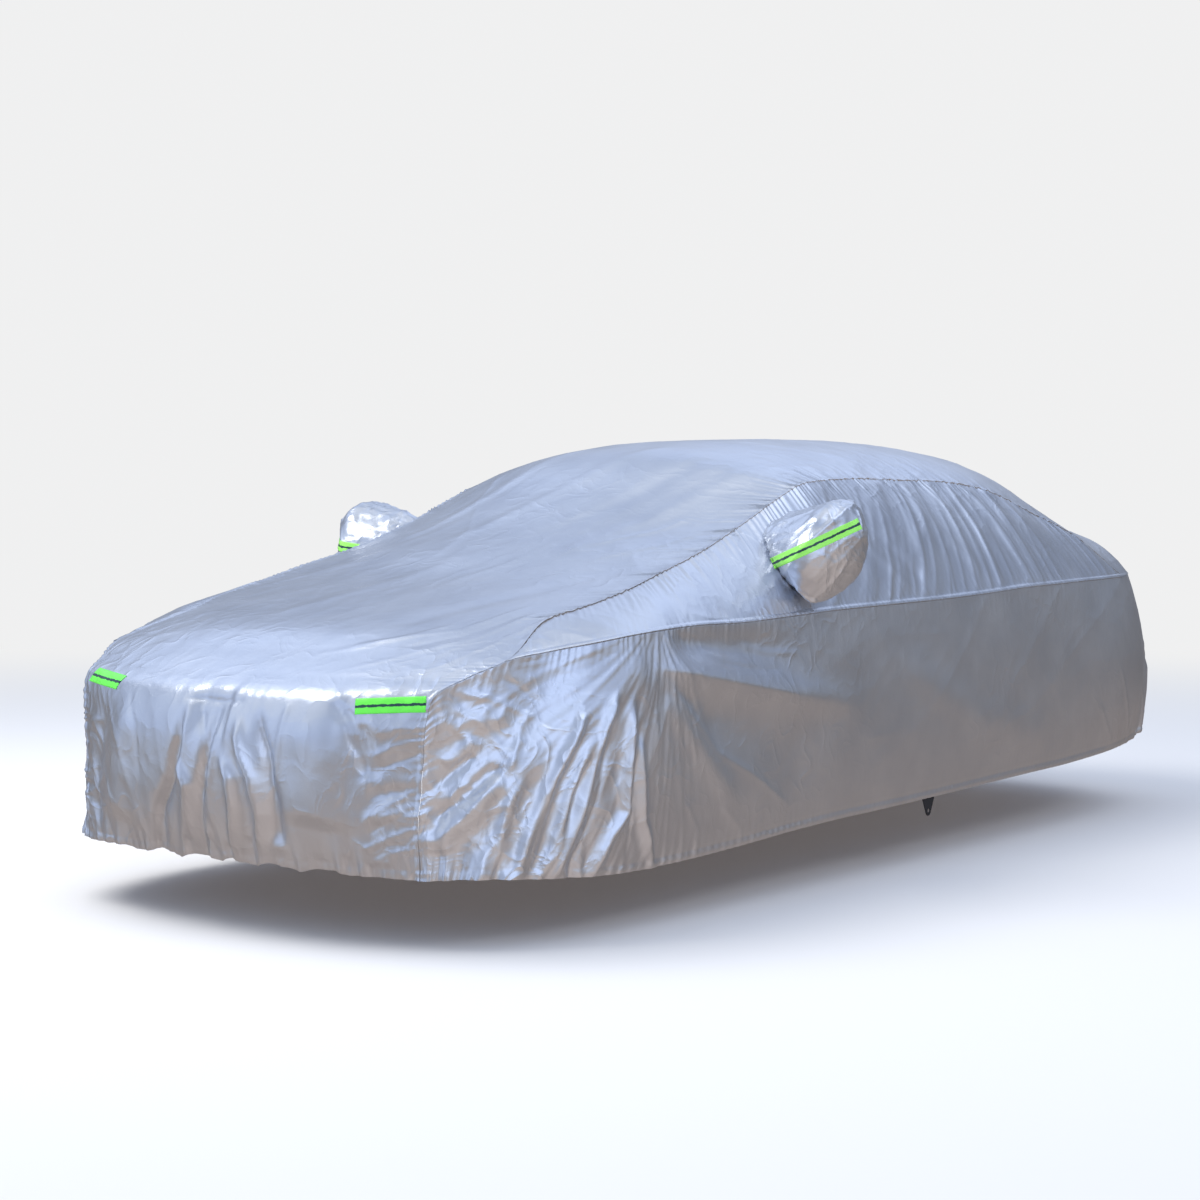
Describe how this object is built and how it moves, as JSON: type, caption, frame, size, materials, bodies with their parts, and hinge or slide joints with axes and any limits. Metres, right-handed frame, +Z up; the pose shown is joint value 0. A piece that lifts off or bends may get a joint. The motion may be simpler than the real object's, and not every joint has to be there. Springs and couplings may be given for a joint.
{
  "type": "fitted vehicle cover",
  "caption": "Full-length silver cloth cover in its draped shape, with mirror pockets, reflective strips, a gathered hem and a tie-down tab.",
  "frame": {"origin": "point that holds the cover up, just under the crown of the roof, on the middle plane", "axes": "+X towards the nose, +Y towards the cover's left side, +Z up"},
  "size_m": [4.8376, 2.1033, 1.286],
  "materials": {
    "silver_cloth": "satin",
    "reflective_strip": "satin film",
    "black_webbing": "matte"
  },
  "bodies": {
    "root": {"centre_panel": "silver_cloth", "band_left": "silver_cloth", "band_right": "silver_cloth", "skirt_left": "silver_cloth", "skirt_right": "silver_cloth", "mirror_pocket_left": "silver_cloth", "mirror_pocket_right": "silver_cloth", "strip_front_left": "reflective_strip", "strip_front_right": "reflective_strip", "strip_mirror_left": "reflective_strip", "strip_mirror_right": "reflective_strip", "hem_tab": "black_webbing"}
  },
  "joints": []
}
